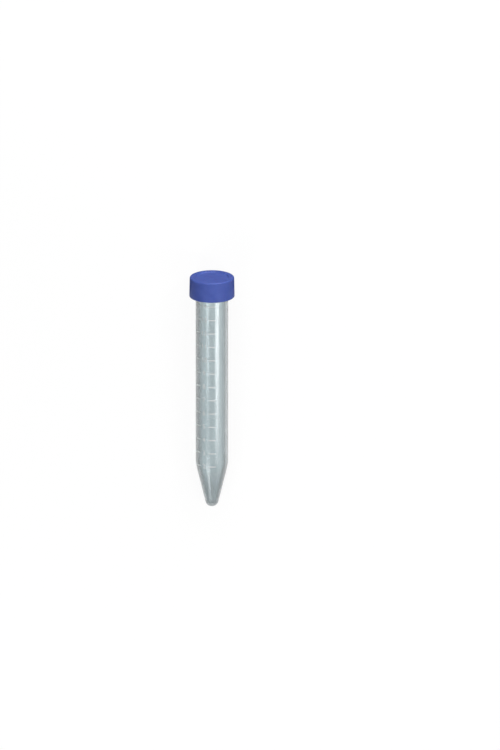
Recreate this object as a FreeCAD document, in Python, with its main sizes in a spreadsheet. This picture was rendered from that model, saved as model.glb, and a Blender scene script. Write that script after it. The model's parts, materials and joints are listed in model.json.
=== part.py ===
"""Conical tube of 15 ml with its screw cap, lying on its side, in millimetres.

Each body is modelled upright about its own +Z axis, with the outside of the tube's tip at the
origin and the front of the tube towards -Y. One shared placement then lays the closed tube down,
cap towards +Y, resting on the cap's lip and on the start of the cone.
"""

import FreeCAD, Part
import math
import os
import Sketcher

SIZES = (
    # name, value, meaning
    ("overall_length", 120.0, "tip to the cap's top rim"),
    ("barrel_dia", 16.1, "outside of the barrel"),
    ("neck_dia", 16.5, "outside of the neck, at the thread's root"),
    ("bore_dia", 13.5, "inside of the barrel and the neck"),
    ("cone_length", 22.5, "tip to the sharp corner of cone and barrel"),
    ("cone_angle", 13.5, "half angle of the cone, in degrees"),
    ("cone_wall", 1.2, "wall of the cone, square to its surface"),
    ("floor_height", 1.7, "thickness of the tip's floor"),
    ("tip_round", 3.0, "outer rounding of the tip"),
    ("floor_round", 1.3, "inner rounding of the tip"),
    ("shoulder_round", 21.0, "blend from cone to barrel"),
    ("neck_step", 110.3, "height of the step from barrel to neck, inside the cap's lip"),
    ("brim_bevel", 0.35, "bevel of the brim's outer edge"),
    ("cap_height", 10.1, "height of the cap"),
    ("cap_lip_dia", 22.4, "outside of the cap at its open end"),
    ("cap_rim_dia", 22.0, "outside of the cap at its top"),
    ("cap_bore_dia", 18.9, "inside of the skirt, at the thread's root"),
    ("rim_round", 0.8, "rounding of the cap's top edge"),
    ("lip_bevel", 0.3, "bevel of the cap's lower edge"),
    ("lead_in", 0.4, "bevel inside the cap's open end"),
    ("recess_dia", 16.0, "flat recess in the cap's top"),
    ("recess_depth", 0.5, "depth of the recess"),
    ("recess_slope", 0.4, "width of the recess's sloping wall"),
    ("panel_wall", 1.5, "thickness of the cap's top panel"),
    ("seal_wall", 0.8, "thickness of the seal disc"),
    ("seal_dia", 17.4, "outside of the seal disc"),
    ("seat_gap", 0.1, "gap round the seal disc"),
    ("bead_height", 0.3, "height of the bead under the seal disc"),
    ("bead_grip", 0.15, "how far the bead reaches under the seal disc"),
    ("lead", 2.5, "climb of the cap in one turn"),
    ("thread_crest", 0.6, "width of both threads at the crest"),
    ("thread_flank", 30.0, "slope of both threads' flanks, in degrees"),
    ("thread_depth", 0.95, "height of both threads above their root"),
    ("thread_sink", 0.2, "how far a thread's foot is sunk into its wall"),
    ("thread_play", 0.12, "gap along the axis under the neck thread when the cap is tight"),
    ("run_out", 0.15, "length of a run-out, in turns"),
    ("neck_start", 111.7, "height of the neck thread's middle at its lower end"),
    ("neck_turns", 1.4, "full turns of the neck thread, without the run-outs"),
    ("cap_turn", 160.0, "angle where the cap's thread starts, in degrees"),
    ("cap_turns", 1.0, "full turns of the cap's thread, without the run-outs"),
    ("first_mark", 23.1, "height of the lowest mark"),
    ("mark_step", 6.967, "distance between marks, one millilitre of the bore"),
    ("mark_count", 13, "number of marks"),
    ("mark_width", 0.45, "width of a mark's bar"),
    ("mark_film", 0.05, "thickness of the print"),
    ("bar_arc", 26.0, "angle that a bar covers on the barrel, in degrees"),
    ("number_arc", 34.0, "angle left free for the number, in degrees"),
    ("scale_turn", -29.5, "turn of the scale's middle from the front, in degrees"),
)

BARREL = "Sizes.barrel_dia / 2"
NECK = "Sizes.neck_dia / 2"
BORE = "Sizes.bore_dia / 2"
CAP_BORE = "Sizes.cap_bore_dia / 2"
CONE_SLOPE = "tan(Sizes.cone_angle)"
CONE_FOOT = f"({BARREL} - Sizes.cone_length * {CONE_SLOPE})"
CAVITY_SHIFT = "Sizes.cone_wall / cos(Sizes.cone_angle)"
RECESS_FLOOR = "(Sizes.overall_length - Sizes.recess_depth)"
CEILING = "(Sizes.overall_length - Sizes.recess_depth - Sizes.panel_wall)"
BRIM = "(Sizes.overall_length - Sizes.recess_depth - Sizes.panel_wall - Sizes.seal_wall)"
CAP_FOOT = "(Sizes.overall_length - Sizes.cap_height)"
SEAT = "(Sizes.seal_dia / 2 + Sizes.seat_gap)"
BEAD = "(Sizes.seal_dia / 2 - Sizes.bead_grip)"
FLANK_SLOPE = "tan(Sizes.thread_flank)"
MARK_SPAN = "(Sizes.mark_count - 1) * Sizes.mark_step"
CAP_DRAFT = "atan((Sizes.cap_lip_dia - Sizes.cap_rim_dia) / 2 / Sizes.cap_height)"
LIP_R = f"(Sizes.cap_lip_dia / 2 - Sizes.lip_bevel * tan({CAP_DRAFT}))"
LIP_Z = f"({CAP_FOOT} + Sizes.lip_bevel)"


def make_sheet(document):
    """Spreadsheet of the driving dimensions, one row each."""
    sheet = document.addObject("Spreadsheet::Sheet", "Sizes")
    for row, (name, value, meaning) in enumerate(SIZES, start=1):
        sheet.set(f"A{row}", name)
        sheet.set(f"B{row}", str(value))
        sheet.set(f"C{row}", meaning)
        sheet.setAlias(f"B{row}", name)
    document.recompute()


def new_body(document, label):
    """Empty body that takes more than one solid where its piece is a group."""
    body = document.addObject("PartDesign::Body", label)
    body.Label = label
    body.AllowCompound = True
    return body


def number(body, expression):
    """Value of a sheet expression as a plain number."""
    value = body.evalExpression(expression)
    return float(getattr(value, "Value", value))


def upright_sketch(body, name):
    """Sketch on the body's XZ plane: its x is the radius and its y the height."""
    sketch = body.newObject("Sketcher::SketchObject", name)
    plane = next(item for item in body.Origin.OriginFeatures if item.Role == "XZ_Plane")
    sketch.AttachmentSupport = [(plane, "")]
    sketch.MapMode = "FlatFace"
    return sketch


def place_point(body, sketch, geometry, point, corner):
    """Tie a point of the sketch to the corner's radius and height."""
    for kind, axis, expression in (("DistanceX", -2, corner[0]), ("DistanceY", -1, corner[1])):
        if number(body, expression) == 0:
            sketch.addConstraint(Sketcher.Constraint("PointOnObject", geometry, point, axis))
        else:
            value = number(body, expression)
            index = sketch.addConstraint(Sketcher.Constraint(kind, -1, 1, geometry, point, value))
            sketch.setExpression(f"Constraints[{index}]", expression)


def turn_sketch(sketch, angle):
    """Turn the sketch's plane about the Z axis by an angle in degrees."""
    sketch.AttachmentOffset = FreeCAD.Placement(
        FreeCAD.Vector(0, 0, 0), FreeCAD.Rotation(FreeCAD.Vector(0, 1, 0), 1)
    )
    sketch.setExpression(".AttachmentOffset.Rotation.Angle", angle)


def draw_profile(body, name, corners):
    """Closed outline through the corners, each (radius, height) or (radius, height, rounding)."""
    sketch = upright_sketch(body, name)
    spots = [FreeCAD.Vector(number(body, x), number(body, z), 0) for x, z, *_ in corners]
    count = len(corners)
    starts = list(spots)
    ends = list(spots)
    arcs = {}
    for i, (corner, spot) in enumerate(zip(corners, spots)):
        if len(corner) < 3:
            continue
        before = (spots[i - 1] - spot).normalize()
        after = (spots[(i + 1) % count] - spot).normalize()
        half = before.getAngle(after) / 2
        radius = number(body, corner[2])
        reach = radius / math.tan(half)
        inward = (before + after).normalize()
        centre = spot + inward * (reach**2 + radius**2) ** 0.5
        starts[i] = spot + before * reach
        ends[i] = spot + after * reach
        left_turn = before.cross(after).z < 0
        arcs[i] = (centre, radius, left_turn)
    lines = [
        sketch.addGeometry(Part.LineSegment(ends[i], starts[(i + 1) % count]))
        for i in range(count)
    ]
    for i, corner in enumerate(corners):
        into, away = lines[i - 1], lines[i]
        if i not in arcs:
            sketch.addConstraint(Sketcher.Constraint("Coincident", into, 2, away, 1))
            place_point(body, sketch, away, 1, corner)
            continue
        centre, radius, left_turn = arcs[i]
        circle = Part.Circle(centre, FreeCAD.Vector(0, 0, 1), radius)
        first, last = (starts[i], ends[i]) if left_turn else (ends[i], starts[i])
        arc = sketch.addGeometry(
            Part.ArcOfCircle(circle, circle.parameter(first), circle.parameter(last))
        )
        arc_in, arc_out = (1, 2) if left_turn else (2, 1)
        sketch.addConstraint(Sketcher.Constraint("Tangent", into, 2, arc, arc_in))
        sketch.addConstraint(Sketcher.Constraint("Tangent", arc, arc_out, away, 1))
        index = sketch.addConstraint(Sketcher.Constraint("Radius", arc, radius))
        sketch.setExpression(f"Constraints[{index}]", corner[2])
        meet = sketch.addGeometry(Part.Point(spots[i]), True)
        sketch.addConstraint(Sketcher.Constraint("PointOnObject", meet, 1, into))
        sketch.addConstraint(Sketcher.Constraint("PointOnObject", meet, 1, away))
        place_point(body, sketch, meet, 1, corner)
    return sketch


def turn(body, name, corners):
    """Solid of revolution about the body's Z axis."""
    sketch = draw_profile(body, f"{name}_profile", corners)
    solid = body.newObject("PartDesign::Revolution", name)
    solid.Profile = sketch
    solid.ReferenceAxis = (sketch, ["V_Axis"])
    solid.Angle = 360
    return solid


def wind(body, name, section, height, angle, turns, growth, downwards=False):
    """Ridge wound about Z from a section at the given height, turned by angle about Z."""
    sketch = draw_profile(body, f"{name}_section", section)
    turn_sketch(sketch, angle)
    sketch.setExpression(".AttachmentOffset.Base.y", height)
    ridge = body.newObject("PartDesign::AdditiveHelix", name)
    ridge.Profile = sketch
    ridge.ReferenceAxis = (sketch, ["V_Axis"])
    ridge.Mode = "height-turns-growth"
    ridge.setExpression("Height", f"Sizes.lead * {turns}")
    ridge.setExpression("Turns", turns)
    ridge.setExpression("Growth", growth)
    ridge.Reversed = downwards
    return ridge


def add_thread(body, name, root, inwards, start, angle, turns):
    """Right-hand thread on a wall of radius root, sinking into the wall at either end."""
    out, back = ("-", "+") if inwards else ("+", "-")
    crest = f"{root} {out} Sizes.thread_depth"
    foot = f"{root} {back} Sizes.thread_sink"
    crest_half = "Sizes.thread_crest / 2"
    foot_half = f"({crest_half} + (Sizes.thread_depth + Sizes.thread_sink) * {FLANK_SLOPE})"
    section = (
        (foot, f"-{foot_half}"),
        (crest, f"-{crest_half}"),
        (crest, crest_half),
        (foot, foot_half),
    )
    sinking = f"{back}(Sizes.thread_depth + Sizes.thread_sink) / Sizes.run_out"
    end = f"{start} + Sizes.lead * {turns}"
    end_angle = f"{angle} + 360 * {turns}"
    wind(body, f"{name}_turns", section, start, angle, turns, "0")
    wind(body, f"{name}_lower_end", section, start, angle, "Sizes.run_out", sinking, True)
    return wind(body, f"{name}_upper_end", section, end, end_angle, "Sizes.run_out", sinking)


def make_tube(document):
    """Moulded tube: rounded tip, cone, barrel, neck and brim in one wall, with the thread."""
    body = new_body(document, "tube")
    cavity_foot = f"({CONE_FOOT} - {CAVITY_SHIFT} + Sizes.floor_height * {CONE_SLOPE})"
    cavity_length = f"({BORE} - {cavity_foot}) / {CONE_SLOPE}"
    turn(
        body,
        "wall",
        (
            ("0", "0"),
            (CONE_FOOT, "0", "Sizes.tip_round"),
            (BARREL, "Sizes.cone_length", "Sizes.shoulder_round"),
            (BARREL, "Sizes.neck_step"),
            (NECK, f"Sizes.neck_step + {NECK} - {BARREL}"),
            (NECK, f"{BRIM} - Sizes.brim_bevel"),
            (f"{NECK} - Sizes.brim_bevel", BRIM),
            (BORE, BRIM),
            (BORE, f"Sizes.floor_height + {cavity_length}", "Sizes.shoulder_round"),
            (cavity_foot, "Sizes.floor_height", "Sizes.floor_round"),
            ("0", "Sizes.floor_height"),
        ),
    )
    body.Tip = add_thread(
        body, "neck_thread", NECK, False, "Sizes.neck_start", "0", "Sizes.neck_turns"
    )
    return body


def make_cap(document):
    """Moulded cap: skirt with draft, raised rim, recessed panel, seal seat, bead and thread."""
    body = new_body(document, "screw_cap")
    bead_top = f"({BRIM} - Sizes.seat_gap / 2)"
    bead_foot = f"({bead_top} - Sizes.bead_height)"
    turn(
        body,
        "shell",
        (
            ("0", RECESS_FLOOR),
            ("0", CEILING),
            (SEAT, CEILING),
            (SEAT, bead_top),
            (BEAD, bead_top),
            (BEAD, bead_foot),
            (CAP_BORE, f"{bead_foot} - ({CAP_BORE} - {BEAD})"),
            (CAP_BORE, f"{CAP_FOOT} + Sizes.lead_in"),
            (f"{CAP_BORE} + Sizes.lead_in", CAP_FOOT),
            ("Sizes.cap_lip_dia / 2 - Sizes.lip_bevel", CAP_FOOT),
            (LIP_R, LIP_Z),
            ("Sizes.cap_rim_dia / 2", "Sizes.overall_length", "Sizes.rim_round"),
            ("Sizes.recess_dia / 2 + Sizes.recess_slope", "Sizes.overall_length"),
            ("Sizes.recess_dia / 2", RECESS_FLOOR),
        ),
    )
    overlap = f"({NECK} - {CAP_BORE} + 2 * Sizes.thread_depth)"
    seated = f"Sizes.neck_start - Sizes.thread_crest - {overlap} * {FLANK_SLOPE} - Sizes.thread_play"
    start = f"{seated} + Sizes.lead * Sizes.cap_turn / 360"
    body.Tip = add_thread(
        body, "cap_thread", CAP_BORE, True, start, "Sizes.cap_turn", "Sizes.cap_turns"
    )
    return body


def make_seal(document):
    """Soft disc in the cap's ceiling, pressed on the brim when the cap is tight."""
    body = new_body(document, "seal_disc")
    turn(
        body,
        "disc",
        (
            ("0", BRIM),
            ("Sizes.seal_dia / 2", BRIM),
            ("Sizes.seal_dia / 2", CEILING),
            ("0", CEILING),
        ),
    )
    return body


def make_marks(document):
    """Printed scale: at each level a bar on either side of the space for its number.

    Two strips of film follow the outside of the tube, and rings cut them into bars.
    """
    body = new_body(document, "scale_marks")
    foot = "(Sizes.first_mark - Sizes.mark_step + Sizes.mark_width)"
    foot_r = f"({BARREL} - (Sizes.cone_length - {foot}) * {CONE_SLOPE})"
    top = f"(Sizes.first_mark + {MARK_SPAN} + Sizes.mark_width / 2)"
    film = f"{BARREL} + Sizes.mark_film"
    film_corner = "Sizes.cone_length - Sizes.mark_film * tan(Sizes.cone_angle / 2)"
    strip = (
        (foot_r, foot),
        (f"{foot_r} + Sizes.mark_film / cos(Sizes.cone_angle)", foot),
        (film, film_corner, "Sizes.shoulder_round + Sizes.mark_film"),
        (film, top),
        (BARREL, top),
        (BARREL, "Sizes.cone_length", "Sizes.shoulder_round"),
    )
    middle = "Sizes.scale_turn - 90"
    for name, start in (
        ("left_strip", f"{middle} - Sizes.number_arc / 2 - Sizes.bar_arc"),
        ("right_strip", f"{middle} + Sizes.number_arc / 2"),
    ):
        bars = turn(body, name, strip)
        bars.setExpression("Angle", "Sizes.bar_arc")
        turn_sketch(bars.Profile[0], start)
    document.recompute()
    uncut = bars.Shape.Volume
    low = "Sizes.first_mark - Sizes.mark_step + Sizes.mark_width / 2"
    high = "Sizes.first_mark - Sizes.mark_width / 2"
    within = f"{foot_r} / 2"
    beyond = f"{BARREL} + Sizes.mark_width"
    gap = ((within, low), (beyond, low), (beyond, high), (within, high))
    profile = draw_profile(body, "gap_profile", gap)
    ring = body.newObject("PartDesign::Groove", "gap")
    ring.Profile = profile
    ring.ReferenceAxis = (profile, ["V_Axis"])
    ring.Angle = 360
    scale = body.newObject("PartDesign::LinearPattern", "scale")
    scale.Originals = [ring]
    scale.Direction = (profile, ["V_Axis"])
    scale.setExpression("Length", MARK_SPAN)
    scale.setExpression("Occurrences", "Sizes.mark_count")
    body.Tip = scale
    document.recompute()
    if not scale.Shape.Volume < ring.Shape.Volume < uncut:
        raise RuntimeError("the gaps between the marks were not cut")
    return body


def lay_down(body):
    """Bind the body's placement, so that the closed tube rests on the floor, cap towards +Y.

    Seen from the side, the floor is the line that touches the shoulder's blend and the edge of
    the cap's lip. Its slope against the axis is the tilt.
    """
    shoulder_r = f"({BARREL} - Sizes.shoulder_round)"
    shoulder_z = "(Sizes.cone_length + Sizes.shoulder_round * tan(Sizes.cone_angle / 2))"
    out = f"({LIP_R} - {shoulder_r})"
    along = f"({LIP_Z} - {shoulder_z})"
    lean = f"atan2({along}; {out})"
    tilt = f"(acos(Sizes.shoulder_round / hypot({out}; {along})) - {lean})"
    rise = f"{shoulder_r} * cos({tilt}) - {shoulder_z} * sin({tilt}) + Sizes.shoulder_round"
    rim_r = f"(Sizes.cap_rim_dia / 2 - Sizes.rim_round * tan(45 deg - {CAP_DRAFT} / 2))"
    rim_z = "(Sizes.overall_length - Sizes.rim_round)"
    far_end = f"({rim_r} * sin({tilt}) + {rim_z} * cos({tilt}) + Sizes.rim_round)"
    tip_r = f"({CONE_FOOT} - Sizes.tip_round * tan(45 - Sizes.cone_angle / 2))"
    near_end = f"(Sizes.tip_round * (cos({tilt}) - 1) - {tip_r} * sin({tilt}))"
    body.Placement = FreeCAD.Placement(
        FreeCAD.Vector(0, 0, 0), FreeCAD.Rotation(FreeCAD.Vector(-1, 0, 0), 90)
    )
    body.setExpression(".Placement.Rotation.Angle", f"90 deg - {tilt}")
    body.setExpression(".Placement.Base.y", f"-({far_end} + {near_end}) / 2")
    body.setExpression(".Placement.Base.z", rise)


def main():
    document = FreeCAD.newDocument("conical_tube")
    make_sheet(document)
    pieces = [make(document) for make in (make_tube, make_cap, make_seal, make_marks)]
    for piece in pieces:
        lay_down(piece)
    document.recompute()
    for item in document.Objects:
        bad = {"Invalid", "Error"}.intersection(item.State)
        if bad:
            raise RuntimeError(f"{item.Label} failed: {item.State}")
    for piece in pieces:
        if piece.Shape.isNull() or not piece.Shape.isValid():
            raise RuntimeError(f"{piece.Label} is not a valid solid")
    os.makedirs("parts", exist_ok=True)
    for piece in pieces:
        piece.Shape.exportStep(f"parts/{piece.Label}.step")


main()
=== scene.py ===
"""Looks of a 15 ml conical tube: moulded walls, screw cap, seal, printed scale and a plain studio.

Everything is in metres. Each moulded piece is a surface turned about the tube's own axis, which
lies along the floor. A point is given by its distance along the axis from the tip, its radius,
and its turn about the axis, measured from the front of the tube towards +X.
"""

import json
import math

import bmesh
import bpy
import numpy as np
from mathutils import Matrix, Vector


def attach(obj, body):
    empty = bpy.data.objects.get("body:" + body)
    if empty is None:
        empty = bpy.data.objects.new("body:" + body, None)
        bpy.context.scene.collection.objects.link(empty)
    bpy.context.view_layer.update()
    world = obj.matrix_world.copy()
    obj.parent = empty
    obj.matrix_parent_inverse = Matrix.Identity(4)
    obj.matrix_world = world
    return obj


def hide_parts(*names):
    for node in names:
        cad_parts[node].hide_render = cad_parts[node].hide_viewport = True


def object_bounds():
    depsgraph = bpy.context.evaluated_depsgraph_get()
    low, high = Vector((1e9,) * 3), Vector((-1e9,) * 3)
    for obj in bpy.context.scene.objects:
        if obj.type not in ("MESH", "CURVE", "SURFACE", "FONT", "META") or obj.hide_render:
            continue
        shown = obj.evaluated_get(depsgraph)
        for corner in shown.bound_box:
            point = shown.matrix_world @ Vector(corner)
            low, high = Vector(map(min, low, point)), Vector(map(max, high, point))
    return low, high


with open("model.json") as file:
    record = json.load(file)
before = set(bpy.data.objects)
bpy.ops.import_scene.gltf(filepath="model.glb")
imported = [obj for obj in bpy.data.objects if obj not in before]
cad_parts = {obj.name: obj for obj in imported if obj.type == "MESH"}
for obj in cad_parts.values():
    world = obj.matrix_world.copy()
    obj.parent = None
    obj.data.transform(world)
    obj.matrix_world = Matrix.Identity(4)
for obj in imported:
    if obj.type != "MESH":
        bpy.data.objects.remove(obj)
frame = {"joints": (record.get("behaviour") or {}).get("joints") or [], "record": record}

MM = 0.001
cad_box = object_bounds()
mounts = {mount["name"]: mount for mount in frame["record"]["mounts"]}
cap_lift = next(joint for joint in frame["joints"] if joint["name"] == "cap_lift")

# Heights along the axis, from the tip.
LENGTH = 120.0 * MM
RECESS_FLOOR = LENGTH - 0.5 * MM
CEILING = RECESS_FLOOR - 1.5 * MM
BRIM = CEILING - 0.8 * MM
CAP_FOOT = LENGTH - 10.1 * MM
NECK_STEP = 110.3 * MM
CONE_TOP = 22.5 * MM
TUBE_FLOOR = 1.7 * MM

# Radii.
BARREL = mounts["barrel"]["dims"]["r_mm"] * MM
NECK = 8.25 * MM
BORE = 6.75 * MM
CAP_LIP = 11.2 * MM
CAP_RIM = 11.0 * MM
CAP_BORE = 9.45 * MM
RECESS = 8.0 * MM
SEAT = 8.8 * MM
SEAL = 8.7 * MM
BEAD = 8.55 * MM

CONE_SLOPE = math.tan(math.radians(13.5))
CONE_WALL = 1.2 * MM
SHOULDER_ROUND = 21.0 * MM
EDGE_ROUND = 0.12 * MM
COLUMNS = 240
ROW_STEP = 2.0 * MM
THREAD_ROW_STEP = 0.1 * MM

# Both threads are right-handed with one start; turns are in degrees from the tube's front.
LEAD = 2.5 * MM
THREAD_DEPTH = 0.95 * MM
THREAD_SINK = 0.2 * MM
THREAD_CREST = 0.6 * MM
THREAD_PLAY = 0.12 * MM
FLANK_SLOPE = math.tan(math.radians(30.0))
RUN_OUT = 0.15
NECK_THREAD_FOOT = 111.7 * MM
NECK_THREAD_START = 90.0
NECK_THREAD_TURNS = 1.4
CAP_THREAD_START = 250.0
CAP_THREAD_TURNS = 1.0

# Printed scale, with turns in degrees from the tube's front.
MARKS = 13
FIRST_NUMBER = 2
FIRST_MARK = 23.1 * MM
MARK_STEP = 6.967 * MM
MARK_WIDTH = 0.45 * MM
BAR_ARC = 26.0
NUMBER_ARC = 34.0
SCALE_TURN = -29.5
NUMBER_HEIGHT = 2.3 * MM
FILM = 0.04 * MM
FILM_LIFT = 0.01 * MM

AXIS = Vector(cap_lift["axis"]).normalized()
TIP = Vector(mounts["cap_recess"]["pos_m"]) - RECESS_FLOOR * AXIS
RIGHT = Vector((1.0, 0.0, 0.0))
FRONT = RIGHT.cross(AXIS)


def place(along, radius, turn):
    """Points TIP + along AXIS + radius (sin(turn) RIGHT + cos(turn) FRONT), turn in radians."""
    along, radius, turn = np.broadcast_arrays(along, radius, turn)
    return (
        np.array(TIP)
        + along[..., None] * np.array(AXIS)
        + (radius * np.sin(turn))[..., None] * np.array(RIGHT)
        + (radius * np.cos(turn))[..., None] * np.array(FRONT)
    )


def profile(corners):
    """Line through corners (radius, along, rounding), with a tangent arc at every inner corner.

    An arc of radius R at a corner whose sides meet at an angle 2h starts R / tan(h) from it, and
    its centre lies R / sin(h) from it. Long stretches are divided into rows, closer together
    where a thread is wound.
    """
    arc_points = 9
    spots = np.array([corner[:2] for corner in corners], float)
    roundings = [corner[2] for corner in corners[1:-1]]
    points = [spots[:1]]
    for before, spot, after, rounding in zip(spots, spots[1:], spots[2:], roundings):
        back = (before - spot) / np.linalg.norm(before - spot)
        ahead = (after - spot) / np.linalg.norm(after - spot)
        half = math.acos(np.clip(back @ ahead, -1, 1)) / 2
        bisector = (back + ahead) / np.linalg.norm(back + ahead)
        centre = spot + bisector * rounding / math.sin(half)
        first = spot + back * rounding / math.tan(half) - centre
        last = spot + ahead * rounding / math.tan(half) - centre
        sweep = math.pi - 2 * half
        t = np.linspace(0, 1, arc_points)[:, None]
        arc = (np.sin((1 - t) * sweep) * first + np.sin(t * sweep) * last) / math.sin(sweep)
        points.append(centre + arc)
    points = np.concatenate([*points, spots[-1:]])
    lengths = np.linalg.norm(np.diff(points, axis=0), axis=1)
    middle_radius, middle_along = (points[1:] + points[:-1]).T / 2
    threaded = (np.abs(middle_radius - (NECK + CAP_BORE) / 2) < 1 * MM) & (middle_along > NECK_STEP)
    counts = np.ceil(lengths / np.where(threaded, THREAD_ROW_STEP, ROW_STEP)).astype(int)
    stretches = [i + np.arange(count) / count for i, count in enumerate(counts)]
    where = np.append(np.concatenate(stretches), len(points) - 1)
    index = np.arange(len(points))
    return np.column_stack([np.interp(where, index, column) for column in points.T])


def closed_faces(rows, columns):
    """Faces of a grid that wraps round its columns and ends in a pole before and after its rows."""
    index = np.arange(rows * columns).reshape(rows, columns)
    beside = np.roll(index, -1, axis=1)
    quads = np.stack([index[:-1], beside[:-1], beside[1:], index[1:]], axis=-1).reshape(-1, 4)
    pole = np.full(columns, rows * columns)
    start = np.stack([beside[0], index[0], pole], axis=-1)
    end = np.stack([index[-1], beside[-1], pole + 1], axis=-1)
    return quads.tolist() + start.tolist() + end.tolist()


def turned(line, relief=None):
    """Points and faces of a line turned about the axis.

    Row i, column j lies at the line's point i and at the turn 2 pi j / COLUMNS. A relief of
    (radius, along, turn) is added to the radius.
    """
    turn = np.linspace(0, 2 * np.pi, COLUMNS, endpoint=False)[None, :]
    radius, along = line[1:-1, :1], line[1:-1, 1:]
    if relief is not None:
        radius = radius + relief(radius, along, turn)
    grid = place(along, radius, turn).reshape(-1, 3)
    poles = place(line[[0, -1], 1], 0.0, 0.0)
    return np.concatenate([grid, poles]), closed_faces(len(line) - 2, COLUMNS)


def ridge(along, turn, foot, start, turns):
    """Height of a thread above its root, as a function of place on the wall.

    Its middle starts at the height foot and climbs by LEAD each turn. At a distance u from the
    middle, the height is the depth, less what the sloping flank takes past the crest, and less
    what the ridge sinks into its wall past either end.
    """
    wound = (np.degrees(turn) - start) / 360
    wound = wound + np.round((along - foot) / LEAD - wound)
    u = np.abs(along - foot - LEAD * wound)
    height = THREAD_DEPTH + np.minimum(0, (THREAD_CREST / 2 - u) / FLANK_SLOPE)
    past_end = np.maximum(0, np.maximum(-wound, wound - turns)) / RUN_OUT
    return np.maximum(0, height - (THREAD_DEPTH + THREAD_SINK) * past_end)


def add_piece(name, points, faces, material, body, slot, *nodes):
    """Smooth mesh that rides on a body, takes the given material and may stand for CAD nodes; its
    slot is not used.
    """
    mesh = bpy.data.meshes.new(name)
    mesh.from_pydata(points.tolist(), [], faces)
    mesh.polygons.foreach_set("use_smooth", np.ones(len(mesh.polygons), bool))
    mesh.materials.append(material)
    piece = bpy.data.objects.new(name, mesh)
    bpy.context.scene.collection.objects.link(piece)
    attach(piece, body)
    if nodes:
        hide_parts(*nodes)


class Value:
    """Output of a shader node; an expression on values adds its Math nodes."""

    def __init__(self, tree, socket):
        self.tree = tree
        self.socket = socket

    def math(self, operation, *others):
        return self.tree.node("Math", {"operation": operation}, dict(enumerate([self, *others])))

    def __add__(self, other):
        return self.math("ADD", other)

    def __sub__(self, other):
        return self.math("SUBTRACT", other)

    def __rsub__(self, other):
        return (self * -1) + other

    def __mul__(self, other):
        return self.math("MULTIPLY", other)

    __radd__ = __add__
    __rmul__ = __mul__

    def ramp(self, low, high, result_low=0.0, result_high=1.0):
        """Smooth step from result_low at low to result_high at high."""
        names = ("Value", "From Min", "From Max", "To Min", "To Max")
        values = (self, low, high, result_low, result_high)
        return self.tree.node(
            "MapRange", {"interpolation_type": "SMOOTHSTEP"}, dict(zip(names, values))
        )


class Tree:
    """Node tree of one material or world."""

    def __init__(self, owner):
        owner.use_nodes = True
        self.owner = owner
        self.nodes = owner.node_tree.nodes
        self.links = owner.node_tree.links
        self.nodes.clear()

    def node(self, kind, settings=None, inputs=None, output=0):
        """Adds a node, sets its settings, fills or links its sockets, returns one output."""
        made = self.nodes.new(f"ShaderNode{kind}")
        for name, setting in (settings or {}).items():
            setattr(made, name, setting)
        for name, value in (inputs or {}).items():
            if isinstance(value, Value):
                self.links.new(value.socket, made.inputs[name])
            else:
                made.inputs[name].default_value = value
        return Value(self, made.outputs[output]) if made.outputs else None

    def mix(self, factor, first, second):
        """Colour between two colours."""
        sockets = {"Factor": factor, 6: first, 7: second}
        return self.node("Mix", {"data_type": "RGBA"}, sockets, output=2)

    def noise(self, scale, detail=2.0, stretch=(1.0, 1.0, 1.0)):
        """Noise on object coordinates, about `scale` features to the metre."""
        spot = self.node("TexCoord", output="Object")
        spot = self.node("Mapping", None, {"Vector": spot, "Scale": stretch})
        return self.node("TexNoise", None, {"Vector": spot, "Scale": scale, "Detail": detail})

    def along(self):
        """Height along the tube's axis, in metres from the tip."""
        spot = self.node("TexCoord", output="Object")
        settings, sockets = {"operation": "DOT_PRODUCT"}, {0: spot, 1: tuple(AXIS)}
        return self.node("VectorMath", settings, sockets, output="Value") - TIP.dot(AXIS)

    def bump(self, height, depth, strength=1.0):
        """Surface normal under a relief of that height, in metres when the height is 0 to 1."""
        return self.node("Bump", None, {"Height": height, "Distance": depth, "Strength": strength})

    def finish(self, shader):
        """Links the shader or background to the tree's output."""
        kind = "OutputWorld" if isinstance(self.owner, bpy.types.World) else "OutputMaterial"
        self.node(kind, None, {"Surface": shader})
        return self.owner


def grey(level):
    return (level, level, level, 1.0)


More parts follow.
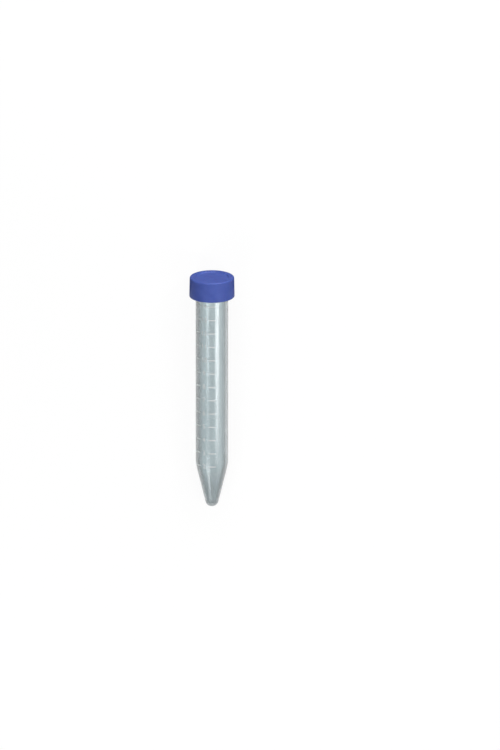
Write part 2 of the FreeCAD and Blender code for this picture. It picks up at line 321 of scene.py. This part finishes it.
def clear_plastic():
    """Natural polypropylene: clear where its wall is seen square on, milky where seen aslant, with
    painted shade in a band near its bore's edge and down the cone.
    """
    tree = Tree(bpy.data.materials.new("clear_plastic"))
    flow = tree.noise(500.0, 2.0, stretch=(1.0, 0.08, 1.0))
    cloud = tree.noise(140.0, 2.0)
    slant = tree.node("LayerWeight", None, {"Blend": 0.5}, output=1)
    gloss = {
        "Roughness": flow.ramp(0.3, 0.7, 0.162, 0.168),
        "IOR": 1.49,
        "Normal": tree.bump(flow, 0.01 * MM, 0.02),
    }
    tint_and_painted_shade = tree.mix(cloud.ramp(0.35, 0.65), (0.79, 0.865, 0.885, 1.0), (0.82, 0.89, 0.905, 1.0))
    tint_and_painted_shade = tree.mix(slant.ramp(0.2, 0.5), tint_and_painted_shade, (0.66, 0.69, 0.69, 1.0))
    painted_shade_band = slant.ramp(0.33, 0.41) * slant.ramp(0.55, 0.47)  # painted shade: a dark band where the wall is seen aslant, about where it hides its bore
    tint_and_painted_shade = tree.mix(painted_shade_band, tint_and_painted_shade, (0.48, 0.51, 0.52, 1.0))
    along = tree.along()  # painted shade: darker down the cone and at the tip, beyond what its thicker plastic already gives
    tint_and_painted_shade = tree.mix(along.ramp(22 * MM, 6 * MM), tint_and_painted_shade, (0.60, 0.655, 0.67, 1.0))
    tint_and_painted_shade = tree.mix(along.ramp(4 * MM, 1 * MM), tint_and_painted_shade, (0.47, 0.51, 0.52, 1.0))
    clear = {"Base Color": tint_and_painted_shade, "Transmission Weight": 1.0, **gloss}
    milk = {"Base Color": (0.42, 0.455, 0.47, 1.0), **gloss}
    layers = {
        0: slant.ramp(0.3, 0.6, 0.08, 0.2),
        1: tree.node("BsdfPrincipled", None, clear),
        2: tree.node("BsdfPrincipled", None, milk),
    }
    return tree.finish(tree.node("MixShader", None, layers))


def blue_plastic():
    """Polyethylene of the cap: satin blue with a fine grain, and polished at its lip and rim."""
    tree = Tree(bpy.data.materials.new("blue_plastic"))
    grain = tree.noise(5200.0, 2.0)
    cloud = tree.noise(260.0, 3.0)
    colour = tree.mix(cloud.ramp(0.3, 0.7), (0.062, 0.096, 0.355, 1.0), (0.070, 0.108, 0.382, 1.0))
    along = tree.along()
    lip = along.ramp(CAP_FOOT + 0.9 * MM, CAP_FOOT + 0.4 * MM)
    rim = along.ramp(LENGTH - 0.9 * MM, LENGTH - 0.4 * MM)
    shader = tree.node(
        "BsdfPrincipled",
        None,
        {
            "Base Color": colour,
            "Roughness": grain.ramp(0.3, 0.7, 0.38, 0.48),
            "IOR": 1.5,
            "Specular IOR Level": 0.12,
            "Coat Weight": (lip + rim) * 0.13,
            "Coat Roughness": 0.2,
            "Subsurface Weight": 0.08,
            "Subsurface Scale": 1.0 * MM,
            "Normal": tree.bump(grain, 0.015 * MM, 0.5),
        },
    )
    return tree.finish(shader)


def foam():
    """Soft closed-cell foam of the seal: off-white, with pores."""
    tree = Tree(bpy.data.materials.new("seal"))
    spot = tree.node("TexCoord", output="Object")
    pores = tree.node("TexVoronoi", None, {"Vector": spot, "Scale": 2600.0})
    colour = tree.mix(pores.ramp(0.1, 0.7), (0.80, 0.80, 0.77, 1.0), (0.70, 0.70, 0.66, 1.0))
    shader = tree.node(
        "BsdfPrincipled",
        None,
        {
            "Base Color": colour,
            "Roughness": 0.75,
            "Normal": tree.bump(pores, 0.03 * MM, 0.6),
        },
    )
    return tree.finish(shader)


def ink(name, level):
    """White screen print, thin and a little uneven in cover."""
    tree = Tree(bpy.data.materials.new(name))
    cover = tree.noise(3800.0, 3.0)
    thin, full = ((level * k, 1.04 * level * k, 1.04 * level * k, 1.0) for k in (0.9, 1.1))
    colour = tree.mix(cover.ramp(0.3, 0.7), thin, full)
    shader = tree.node(
        "BsdfPrincipled",
        None,
        {
            "Base Color": colour,
            "Roughness": cover.ramp(0.3, 0.7, 0.45, 0.6),
            "Normal": tree.bump(cover, 0.01 * MM, 0.4),
        },
    )
    return tree.finish(shader)


def tube_line():
    """Outline of the tube's wall: out from the tip, up the outside, over the brim, down the bore."""
    cone_foot = BARREL - CONE_TOP * CONE_SLOPE
    shift = CONE_WALL / math.cos(math.atan(CONE_SLOPE))
    cavity_foot = cone_foot - shift + TUBE_FLOOR * CONE_SLOPE
    cavity_top = TUBE_FLOOR + (BORE - cavity_foot) / CONE_SLOPE
    return profile(
        (
            (0, 0, 0),
            (cone_foot, 0, 3.0 * MM),
            (BARREL, CONE_TOP, SHOULDER_ROUND),
            (BARREL, NECK_STEP, EDGE_ROUND),
            (NECK, NECK_STEP + NECK - BARREL, EDGE_ROUND),
            (NECK, BRIM, 0.35 * MM),
            (BORE, BRIM, 0.2 * MM),
            (BORE, cavity_top, SHOULDER_ROUND),
            (cavity_foot, TUBE_FLOOR, 1.3 * MM),
            (0, TUBE_FLOOR, 0),
        )
    )


def add_tube(material):
    """The tube's wall, turned from its outline, with the thread round its neck."""

    def thread(radius, along, turn):
        on_neck = np.isclose(radius, NECK, atol=0.001 * MM)
        wound = ridge(along, turn, NECK_THREAD_FOOT, NECK_THREAD_START, NECK_THREAD_TURNS)
        return np.where(on_neck, wound, 0)

    line = tube_line()
    add_piece("tube_wall", *turned(line, thread), material, "tube", "clear_plastic", "tube")


def add_cap(material):
    """The cap, turned from its outline: ceiling, seal seat, bead, skirt, lip, side, rim, recess."""
    overlap = NECK - CAP_BORE + 2 * THREAD_DEPTH
    foot = NECK_THREAD_FOOT - THREAD_CREST - overlap * FLANK_SLOPE - THREAD_PLAY
    foot += LEAD * (CAP_THREAD_START - NECK_THREAD_START) / 360
    bead_top = BRIM - 0.05 * MM
    bead_foot = bead_top - 0.3 * MM
    lead_in = 0.4 * MM
    small = 0.05 * MM
    line = profile(
        (
            (0, CEILING, 0),
            (SEAT, CEILING, small),
            (SEAT, bead_top, small),
            (BEAD, bead_top, small),
            (BEAD, bead_foot, small),
            (CAP_BORE, bead_foot - (CAP_BORE - BEAD), EDGE_ROUND),
            (CAP_BORE, CAP_FOOT + lead_in, EDGE_ROUND),
            (CAP_BORE + lead_in, CAP_FOOT, EDGE_ROUND),
            (CAP_LIP, CAP_FOOT, 0.35 * MM),
            (CAP_RIM, LENGTH, 0.8 * MM),
            (RECESS + 0.4 * MM, LENGTH, 0.3 * MM),
            (RECESS, RECESS_FLOOR, 0.2 * MM),
            (0, RECESS_FLOOR, 0),
        )
    )

    def thread(radius, along, turn):
        on_skirt = np.isclose(radius, CAP_BORE, atol=0.001 * MM)
        return np.where(on_skirt, -ridge(along, turn, foot, CAP_THREAD_START, CAP_THREAD_TURNS), 0)

    add_piece("cap_shell", *turned(line, thread), material, "cap", "blue_plastic", "screw_cap")


def add_seal(material):
    """The seal disc, turned from a rounded outline."""
    line = profile(
        (
            (0, BRIM, 0),
            (SEAL, BRIM, EDGE_ROUND),
            (SEAL, CEILING, EDGE_ROUND),
            (0, CEILING, 0),
        )
    )
    add_piece("seal_pad", *turned(line), material, "seal", "seal", "seal_disc")


def skin(along):
    """Outside radius of the tube at a height along its axis."""
    line = tube_line()
    outside = line[: np.argmax(line[:, 1] > NECK_STEP)]
    return np.interp(along, outside[:, 1], outside[:, 0])


def add_bars(material):
    """Bars of the scale: films with rounded edges, carried along an arc on the tube's outside.

    Across a bar the section is a superellipse, cos and sin of an angle to the power of a half,
    and its width falls to nothing at either end by (1 - t^8) to the power of a half.
    """
    stations = 26
    section = 12
    t = np.linspace(-1, 1, stations + 2)[1:-1, None]
    angle = np.linspace(0, 2 * np.pi, section, endpoint=False)[None, :]
    across = np.sign(np.cos(angle)) * np.abs(np.cos(angle)) ** 0.5
    lift = (1 + np.sign(np.sin(angle)) * np.abs(np.sin(angle)) ** 0.5) / 2
    width = (1 - t**8) ** 0.5
    points, faces = [], []
    for mark in range(MARKS):
        height = FIRST_MARK + mark * MARK_STEP
        for side in (-1, 1):
            middle = math.radians(SCALE_TURN + side * (NUMBER_ARC + BAR_ARC) / 2)
            turn = middle + math.radians(BAR_ARC / 2) * t
            along = height + MARK_WIDTH / 2 * across * width
            grid = place(along, skin(along) + FILM_LIFT + FILM * lift, turn).reshape(-1, 3)
            ends = middle + math.radians(BAR_ARC / 2) * np.array([-1, 1])
            poles = place(height, skin(height) + FILM_LIFT + FILM / 2, ends)
            first = sum(len(group) for group in points)
            faces += [[first + k for k in face] for face in closed_faces(stations, section)]
            points += [grid, poles]
    add_piece(
        "scale_bars", np.concatenate(points), faces, material, "tube", "print", "scale_marks"
    )


def add_numbers(material):
    """Numbers of the scale: flat films of type, cut into strips and wrapped on the barrel.

    A point (x, y, z) of the flat sheet goes to the turn x / BARREL, the height y and z above
    the barrel.
    """
    sheet = bmesh.new()
    for mark in range(MARKS):
        text = bpy.data.curves.new("number", "FONT")
        text.body = str(FIRST_NUMBER + mark)
        text.align_x = "CENTER"
        text.align_y = "CENTER"
        text.size = NUMBER_HEIGHT / 0.7
        text.extrude = FILM / 2
        carrier = bpy.data.objects.new("number", text)
        flat = bpy.data.meshes.new_from_object(carrier)
        flat.transform(Matrix.Translation((0, FIRST_MARK + mark * MARK_STEP, 0)))
        sheet.from_mesh(flat)
        bpy.data.objects.remove(carrier)
        bpy.data.meshes.remove(flat)
        bpy.data.curves.remove(text)
    bmesh.ops.remove_doubles(sheet, verts=sheet.verts, dist=0.002 * MM)
    strip = 0.2 * MM
    for x in np.arange(-2 * MM, 2 * MM, strip):
        geometry = sheet.verts[:] + sheet.edges[:] + sheet.faces[:]
        bmesh.ops.bisect_plane(
            sheet, geom=geometry, dist=1e-7, plane_co=(x, 0, 0), plane_no=(1, 0, 0)
        )
    bmesh.ops.triangulate(sheet, faces=sheet.faces[:])
    bmesh.ops.recalc_face_normals(sheet, faces=sheet.faces[:])
    sheet.verts.index_update()
    faces = [[corner.index for corner in face.verts] for face in sheet.faces]
    flat_points = np.array([point.co for point in sheet.verts])
    sheet.free()
    x, y, z = flat_points.T
    radius = skin(y) + FILM_LIFT + FILM / 2 + z
    points = place(y, radius, math.radians(SCALE_TURN) + x / BARREL)
    add_piece("scale_numbers", points, faces, material, "tube", "print")


def ray_kinds(tree):
    """1 for rays from the camera, from a reflection, and from inside the plastic."""
    kinds = ("Camera", "Glossy", "Transmission")
    return (tree.node("LightPath", output=f"Is {kind} Ray") for kind in kinds)


def add_floor():
    """Plain floor: white with a soft shadow where it is seen, and grey in the light it gives back.

    Seen through the plastic it shows a painted shadow beyond the tube's left side and right of the
    cone, and painted light near the cap; in reflections it shows a painted dark patch round the cap.
    """
    tree = Tree(bpy.data.materials.new("floor"))
    camera, glossy, through = ray_kinds(tree)
    inner = glossy.math("MAXIMUM", through)
    spot = tree.node("TexCoord", output="Object")
    x, y = (tree.node("SeparateXYZ", None, {0: spot}, output=k) for k in range(2))
    # painted shadow: seen through the plastic, the floor glows dimmer beyond the tube's left side and
    # right of the cone
    side = x.ramp(-0.014, -0.008, 1.0, 0.0) + x.ramp(0.005, 0.010) * y.ramp(-0.038, -0.046)
    # painted dark reflection: beyond the cap the floor shows nearly black, in reflections only
    painted_dark_reflection = glossy * (1 - through) * y.ramp(0.044, 0.050)
    # glow share of the floor seen through the plastic, with painted light: it glows brighter near the
    # cap, taking away the shade under it
    glow_share_with_painted_light = 0.55 + 0.2 * y.ramp(0.032, 0.044)
    plain = tree.node("BsdfDiffuse", None, {"Color": grey(0.14)})
    pale = tree.node("BsdfDiffuse", None, {"Color": grey(0.95)})
    glow = tree.node("Emission", None, {"Color": grey(1.0), "Strength": 1.0})
    painted_shadow_glow = tree.node("Emission", None, {"Color": grey(1.0), "Strength": 0.55})
    dark = tree.node("Emission", None, {"Color": grey(1.0), "Strength": 0.12})
    white = tree.node("MixShader", None, {0: camera * 0.92 + inner * glow_share_with_painted_light, 1: pale, 2: glow})
    shader = tree.node("MixShader", None, {0: camera + inner, 1: plain, 2: white})
    shader = tree.node("MixShader", None, {0: through * side, 1: shader, 2: painted_shadow_glow})
    shader = tree.node("MixShader", None, {0: painted_dark_reflection, 1: shader, 2: dark})
    half_side = 4.0
    level = cad_box[0].z
    signs = ((-1, -1), (1, -1), (1, 1), (-1, 1))
    corners = [(sign_x * half_side, sign_y * half_side, level) for sign_x, sign_y in signs]
    mesh = bpy.data.meshes.new("floor")
    mesh.from_pydata(corners, [], [(0, 1, 2, 3)])
    mesh.materials.append(tree.finish(shader))
    floor = bpy.data.objects.new("floor", mesh)
    bpy.context.scene.collection.objects.link(floor)


def add_world():
    """White studio: plain white where it is seen, with a soft light from above and behind the cap."""
    world = bpy.data.worlds.new("studio")
    tree = Tree(world)
    direction = tree.node("TexCoord", output="Generated")
    x, y, z = (tree.node("SeparateXYZ", None, {0: direction}, output=k) for k in range(3))
    level = (x * 0.10 + y * 0.68 + z * z * 0.78).math("MAXIMUM", 0.0)
    camera, glossy, through = ray_kinds(tree)
    inner = glossy.math("MAXIMUM", through)
    strength = level * (1 - camera - inner) + camera + inner * x.ramp(-0.6, 0.2, 0.35, 1.0)
    background = tree.node("Background", None, {"Color": grey(1.0), "Strength": strength})
    bpy.context.scene.world = tree.finish(background)


def add_lamp(name, target, outward, distance, size, radiance):
    """Flat lamp at a distance outward from its target and facing it; size is across, along.

    A flat lamp of area S that looks as bright as the given radiance has the power pi S radiance.
    """
    light = bpy.data.lights.new(name, "AREA")
    light.shape = "RECTANGLE"
    light.size, light.size_y = size
    light.energy = math.pi * size[0] * size[1] * radiance
    across = AXIS.cross(outward).normalized()
    turning = Matrix((across, outward.cross(across), outward)).transposed().to_4x4()
    lamp = bpy.data.objects.new(name, light)
    lamp.matrix_world = Matrix.Translation(target + distance * outward) @ turning
    bpy.context.scene.collection.objects.link(lamp)


def add_lamp_row(name, turn, width, stops):
    """Row of lamps along the tube; turn in degrees, stops are (place along the axis, radiance)."""
    bands = 8
    distance = 0.45
    outward = math.sin(math.radians(turn)) * RIGHT + math.cos(math.radians(turn)) * FRONT
    places, radiances = np.array(stops).T
    edges = np.linspace(places[0], places[-1], bands + 1)
    middles = (edges[1:] + edges[:-1]) / 2
    size = (width, float(edges[1] - edges[0]))
    for band, middle in enumerate(middles.tolist()):
        radiance = float(np.interp(middle, places, radiances))
        add_lamp(f"{name}_{band}", TIP + middle * AXIS, outward, distance, size, radiance)


def add_lamps():
    """Rows on the tube's right and left, one beyond its tip, and two lamps facing the cap's top.

    What the barrel shows of them fades towards the tip, where the cone takes up the lamp beyond.
    """
    key = ((-0.135, 0.5), (-0.12, 2.0), (-0.10, 4.6), (-0.07, 8.4), (-0.05, 9.2), (-0.02, 9.4))
    fill = ((-0.135, 0.2), (-0.12, 0.4), (-0.10, 0.8), (-0.07, 1.8), (-0.05, 2.4), (-0.02, 2.6))
    cone = ((-0.46, 5.0), (-0.145, 5.0))
    add_lamp_row("key", 38.5, 0.23, key)
    add_lamp_row("fill", -31.0, 0.16, fill)
    add_lamp_row("cone", -31.0, 0.24, cone)
    cap_top = TIP + LENGTH * AXIS
    crown = (0.1 * RIGHT + 0.96 * AXIS + 0.27 * FRONT).normalized()
    add_lamp("crown", cap_top, crown, 0.5, (0.5, 0.2), 7.0)
    rim = (0.55 * RIGHT + 0.61 * AXIS + 0.57 * FRONT).normalized()
    add_lamp("rim", cap_top, rim, 0.5, (0.06, 0.06), 34.0)


def add_camera():
    """Long lens above the lying tube, leaning towards its cap and turned a little to its right."""
    lean = math.radians(16.56)
    towards = Vector((0, math.sin(lean), math.cos(lean)))
    image_up = Vector((0, math.cos(lean), -math.sin(lean)))
    view_height = 372.0 * MM
    tube_below_middle = 8.62 * MM
    tube_left_of_middle = 18.87 * MM
    camera = bpy.data.cameras.new("camera")
    camera.sensor_width = 36.0
    camera.lens = 400.0
    distance = view_height * camera.lens / camera.sensor_width
    centre = (cad_box[0] + cad_box[1]) / 2
    spot = centre + tube_below_middle * image_up + distance * towards
    back = (distance * towards - tube_left_of_middle * RIGHT).normalized()
    turning = Matrix((image_up.cross(back), image_up, back)).transposed().to_4x4()
    holder = bpy.data.objects.new("camera", camera)
    holder.matrix_world = Matrix.Translation(spot) @ turning
    camera.clip_start = distance / 10
    camera.clip_end = distance * 10
    bpy.context.scene.collection.objects.link(holder)
    bpy.context.scene.camera = holder


add_camera()
add_tube(clear_plastic())
add_cap(blue_plastic())
add_seal(foam())
add_bars(ink("bar_print", 0.65))
add_numbers(ink("number_print", 0.61))
add_floor()
add_world()
add_lamps()
bpy.context.scene.view_settings.view_transform = "Standard"
